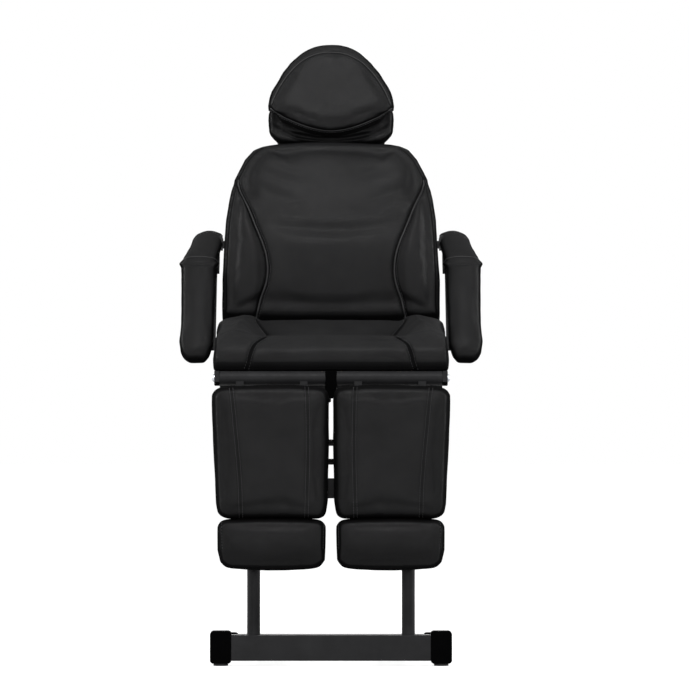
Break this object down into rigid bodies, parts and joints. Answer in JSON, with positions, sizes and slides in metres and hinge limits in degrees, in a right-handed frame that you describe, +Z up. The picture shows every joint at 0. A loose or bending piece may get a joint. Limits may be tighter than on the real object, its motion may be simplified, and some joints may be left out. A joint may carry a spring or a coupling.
{
  "type": "tattoo chair",
  "caption": "Tattoo chair with a parallel-arm lift, reclining bolstered backrest, headrest, folding armrests and split leg rests with sliding foot pads.",
  "frame": {"origin": "on the floor, midway between the chair's outermost points across and front to back, at rest: back upright, leg rests hanging, seat raised", "axes": "+Z up, -Y the way the sitter faces, +X to the right as seen from the front"},
  "size_m": [0.8193, 0.8831, 1.6822],
  "materials": {
    "black_leatherette": "satin",
    "black_powder_coat": "satin",
    "black_plastic": "matte",
    "black_rubber": "matte",
    "zinc_steel": "satin",
    "drive_aluminium": "satin",
    "motor_black": "matte",
    "birch_ply": "matte"
  },
  "bodies": {
    "base": {"front_cross_tube": "black_powder_coat", "rear_cross_tube": "black_powder_coat", "end_caps": "black_plastic", "rubber_feet": "black_rubber", "posts": "black_powder_coat", "floor_rails": "black_powder_coat", "post_braces": "black_powder_coat", "post_beams": "black_powder_coat", "lift_pivot_pins": "zinc_steel"},
    "upper_arms": {"upper_arms": "black_powder_coat", "lift_drive_shaft": "black_powder_coat"},
    "lower_arms": {"lower_arms": "black_powder_coat", "lower_rear_shaft": "black_powder_coat"},
    "lift_drive": {"lift_motor": "motor_black", "lift_drive_tube": "drive_aluminium"},
    "lift_rod": {"lift_drive_rod": "zinc_steel"},
    "seat": {"seat_frame": "black_powder_coat", "seat_hangers": "black_powder_coat", "seat_board": "birch_ply", "upper_rear_shaft": "black_powder_coat", "leg_pivot_shaft": "zinc_steel", "back_pivot_shaft": "zinc_steel", "control_box": "black_plastic", "power_sockets": "black_plastic", "back_motor": "motor_black", "back_drive_tube": "drive_aluminium", "seat_cushion": "black_leatherette", "seat_bolsters": "black_leatherette"},
    "back_rod": {"back_drive_rod": "zinc_steel"},
    "backrest": {"back_frame": "black_powder_coat", "back_board": "birch_ply", "back_cushion": "black_leatherette", "back_bolsters": "black_leatherette", "armrest_brackets": "black_powder_coat"},
    "headrest_knob": {"headrest_knob": "black_plastic"},
    "headrest_posts": {"headrest_posts": "zinc_steel"},
    "headrest": {"headrest_bracket": "black_powder_coat", "headrest_board": "birch_ply", "headrest_base_cushion": "black_leatherette", "headrest_pillow": "black_leatherette"},
    "armrest_left": {"armrest_arm_left": "black_powder_coat", "armrest_pad_left": "black_leatherette"},
    "leg_rest_left": {"leg_frame_left": "black_powder_coat", "calf_board_left": "birch_ply", "calf_pad_left": "black_leatherette"},
    "foot_rest_left": {"foot_frame_left": "black_powder_coat", "foot_board_left": "birch_ply", "foot_pad_left": "black_leatherette"},
    "foot_knob_left": {"foot_knob_left": "black_plastic"},
    "leg_lever_left": {"leg_lever_left": "black_powder_coat"},
    "armrest_right": {"armrest_arm_right": "black_powder_coat", "armrest_pad_right": "black_leatherette"},
    "leg_rest_right": {"leg_frame_right": "black_powder_coat", "calf_board_right": "birch_ply", "calf_pad_right": "black_leatherette"},
    "foot_rest_right": {"foot_frame_right": "black_powder_coat", "foot_board_right": "birch_ply", "foot_pad_right": "black_leatherette"},
    "foot_knob_right": {"foot_knob_right": "black_plastic"},
    "leg_lever_right": {"leg_lever_right": "black_powder_coat"}
  },
  "joints": [
    {"name": "lift", "type": "hinge", "parent": "base", "child": "lower_arms", "pos_m": [0, -0.2804, 0.326], "axis": [-1, 0, 0], "range_deg": [0, 31]},
    {"name": "upper_arms_turn", "type": "hinge", "parent": "base", "child": "upper_arms", "pos_m": [0, -0.2804, 0.466], "axis": [-1, 0, 0], "range_deg": [0, 31]},
    {"name": "seat_level", "type": "hinge", "parent": "lower_arms", "child": "seat", "pos_m": [0, 0.10411, 0.43626], "axis": [1, 0, 0], "range_deg": [0, 31]},
    {"name": "lift_drive_swing", "type": "hinge", "parent": "base", "child": "lift_drive", "pos_m": [0.09, -0.2104, 0.28], "axis": [-1, 0, 0], "range_deg": [0, 17.8]},
    {"name": "lift_drive_stroke", "type": "slide", "parent": "lift_drive", "child": "lift_rod", "axis": [0, -0.4933, -0.8699], "range_m": [0, 0.0902]},
    {"name": "recline", "type": "hinge", "parent": "seat", "child": "backrest", "pos_m": [0, 0.1596, 0.80026], "axis": [-1, 0, 0], "range_deg": [0, 70]},
    {"name": "back_drive_stroke", "type": "slide", "parent": "seat", "child": "back_rod", "axis": [0, -1, 0], "range_m": [0, 0.1345]},
    {"name": "headrest_height", "type": "slide", "parent": "backrest", "child": "headrest_posts", "axis": [0, 0.309, 0.9511], "range_m": [0, 0.08]},
    {"name": "headrest_tilt", "type": "hinge", "parent": "headrest_posts", "child": "headrest", "pos_m": [0, 0.39032, 1.46342], "axis": [-1, 0, 0], "range_deg": [0, 35]},
    {"name": "headrest_knob_turn", "type": "hinge", "parent": "backrest", "child": "headrest_knob", "pos_m": [0.06, 0.34846, 1.29091], "axis": [0, 0.9511, -0.309], "range_deg": [0, 180]},
    {"name": "armrest_left_fold", "type": "hinge", "parent": "backrest", "child": "armrest_left", "pos_m": [0, 0.24503, 1.12789], "axis": [-1, 0, 0], "range_deg": [0, 90]},
    {"name": "leg_rest_left_raise", "type": "hinge", "parent": "seat", "child": "leg_rest_left", "pos_m": [0, -0.3354, 0.74325], "axis": [-1, 0, 0], "range_deg": [0, 90]},
    {"name": "foot_rest_left_slide", "type": "slide", "parent": "leg_rest_left", "child": "foot_rest_left", "axis": [0, 0, -1], "range_m": [0, 0.15]},
    {"name": "foot_knob_left_turn", "type": "hinge", "parent": "leg_rest_left", "child": "foot_knob_left", "pos_m": [-0.07, -0.3364, 0.44326], "axis": [0, 1, 0], "range_deg": [0, 180]},
    {"name": "leg_lever_left_lift", "type": "hinge", "parent": "seat", "child": "leg_lever_left", "pos_m": [-0.258, -0.2904, 0.70325], "axis": [1, 0, 0], "range_deg": [0, 12]},
    {"name": "armrest_right_fold", "type": "hinge", "parent": "backrest", "child": "armrest_right", "pos_m": [0, 0.24503, 1.12789], "axis": [-1, 0, 0], "range_deg": [0, 90]},
    {"name": "leg_rest_right_raise", "type": "hinge", "parent": "seat", "child": "leg_rest_right", "pos_m": [0, -0.3354, 0.74325], "axis": [-1, 0, 0], "range_deg": [0, 90]},
    {"name": "foot_rest_right_slide", "type": "slide", "parent": "leg_rest_right", "child": "foot_rest_right", "axis": [0, 0, -1], "range_m": [0, 0.15]},
    {"name": "foot_knob_right_turn", "type": "hinge", "parent": "leg_rest_right", "child": "foot_knob_right", "pos_m": [0.07, -0.3364, 0.44326], "axis": [0, 1, 0], "range_deg": [0, 180]},
    {"name": "leg_lever_right_lift", "type": "hinge", "parent": "seat", "child": "leg_lever_right", "pos_m": [0.258, -0.2904, 0.70325], "axis": [1, 0, 0], "range_deg": [0, 12]}
  ],
  "couplings": [
    {"joint": "upper_arms_turn", "follows": "lift", "ratio": 1},
    {"joint": "seat_level", "follows": "lift", "ratio": 1},
    {"joint": "lift_drive_swing", "follows": "lift", "ratio": 0.57047},
    {"joint": "lift_drive_stroke", "follows": "lift", "m_per_rad": 0.16656},
    {"joint": "back_drive_stroke", "follows": "recline", "m_per_rad": 0.11004}
  ]
}
